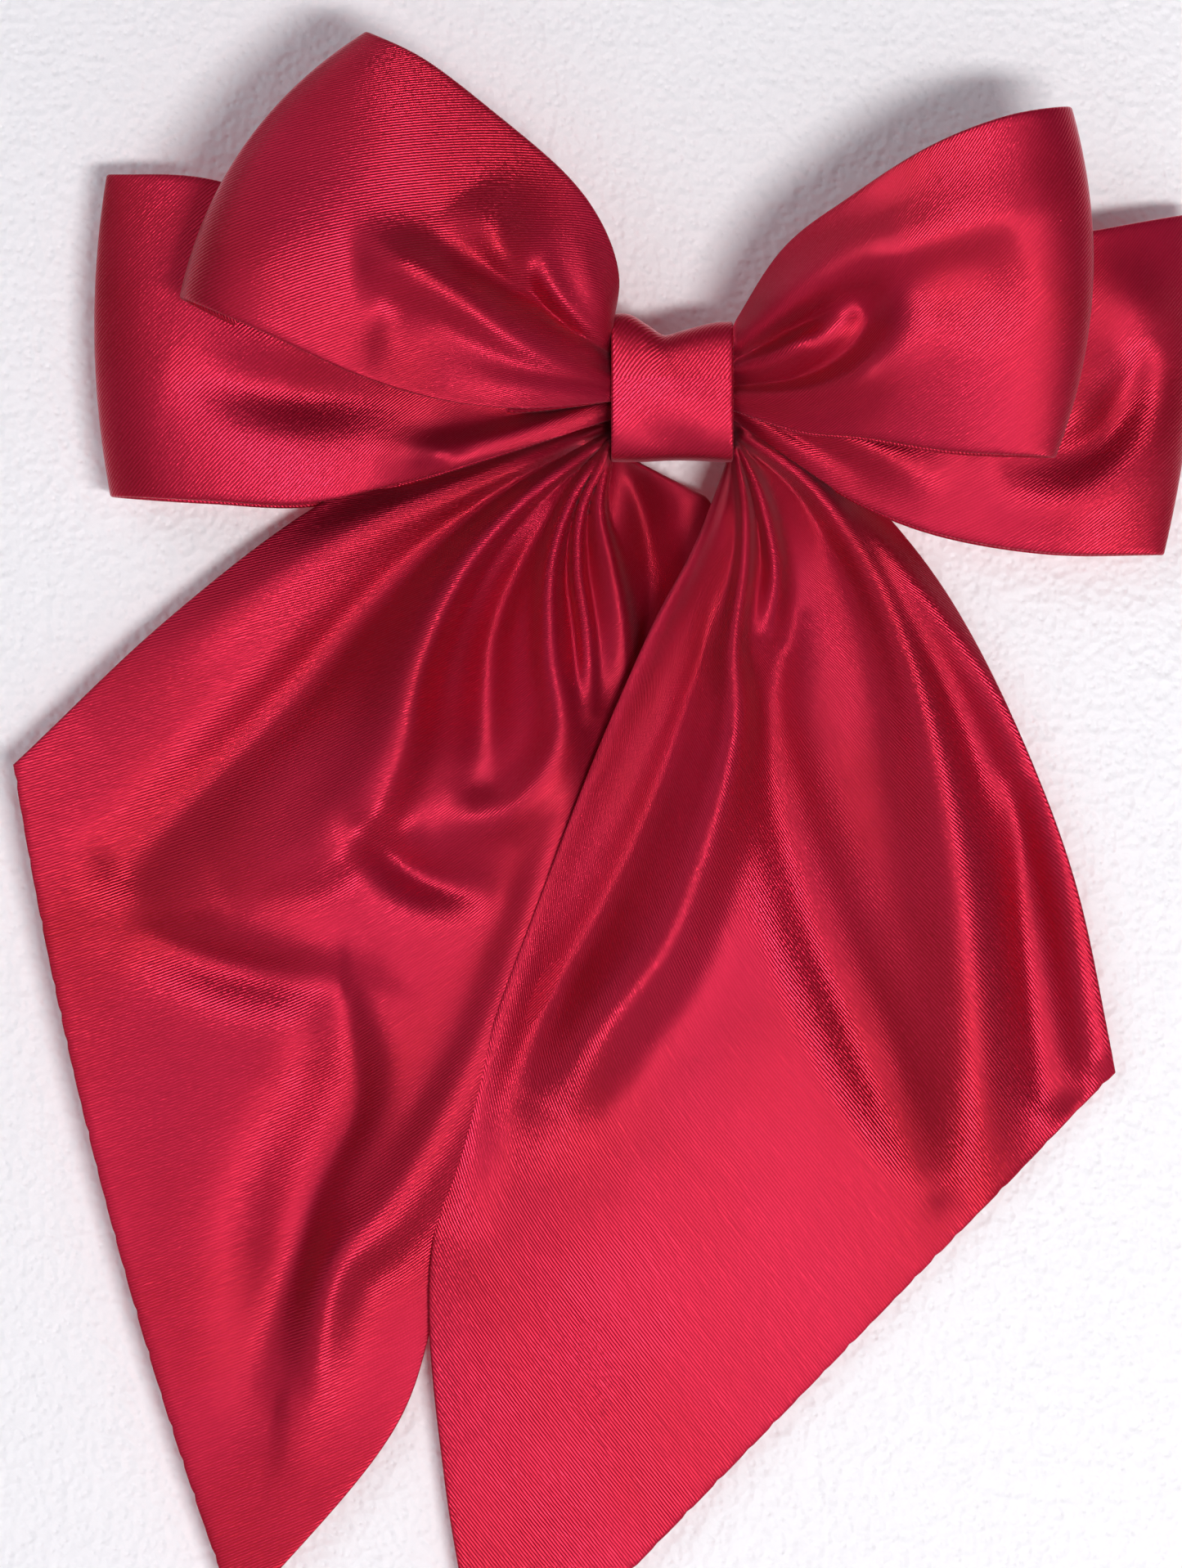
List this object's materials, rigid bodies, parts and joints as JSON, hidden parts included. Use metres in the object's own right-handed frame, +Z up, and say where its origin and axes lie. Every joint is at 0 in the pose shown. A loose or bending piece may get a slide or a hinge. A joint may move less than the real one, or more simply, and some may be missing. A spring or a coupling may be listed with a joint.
{
  "type": "hair bow",
  "caption": "Double satin hair bow with long diagonal-cut tails, a wrapped centre knot and a sprung French barrette behind it.",
  "frame": {"origin": "middle of the space between the barrette's tension bar and clasp arm, where the hair is gripped", "axes": "+Z up as worn, the bow faces -Y and the head is on the +Y side, +X to the right as the bow is looked at"},
  "size_m": [0.2458, 0.0493, 0.347],
  "materials": {
    "satin": "satin",
    "thread": "matte",
    "clip_steel": "satin",
    "spring_steel": "gloss"
  },
  "bodies": {
    "bow": {"front_loops": "satin", "back_loops": "satin", "left_tail": "satin", "right_tail": "satin", "centre_band": "satin", "front_gather_thread": "thread", "back_gather_thread": "thread", "tail_gather_thread": "thread", "band_seam_stitches": "thread", "clip_base": "clip_steel", "clip_stitches": "thread", "hinge_pin": "clip_steel", "catch_bracket": "clip_steel", "catch_rivet": "clip_steel"},
    "arm": {"clasp_arm": "clip_steel"},
    "bar": {"tension_bar": "spring_steel"},
    "prong_upper": {"catch_prong_upper": "spring_steel"},
    "prong_lower": {"catch_prong_lower": "spring_steel"}
  },
  "joints": [
    {"name": "clasp_hinge", "type": "hinge", "parent": "bow", "child": "arm", "pos_m": [-0.0375, 0.00203, 0], "axis": [0, 0, 1], "range_deg": [0, 75]},
    {"name": "tension_bar_press", "type": "slide", "parent": "bow", "child": "bar", "axis": [0, -1, 0], "range_m": [0, 0.001], "stiffness_N_per_m": 1500},
    {"name": "upper_prong_squeeze", "type": "hinge", "parent": "bow", "child": "prong_upper", "pos_m": [0.037, -0.00051, 0.00245], "axis": [-1, 0, 0], "range_deg": [0, 8], "stiffness_Nm_per_rad": 0.15},
    {"name": "lower_prong_squeeze", "type": "hinge", "parent": "bow", "child": "prong_lower", "pos_m": [0.037, -0.00051, -0.00245], "axis": [1, 0, 0], "range_deg": [0, 8], "stiffness_Nm_per_rad": 0.15}
  ]
}
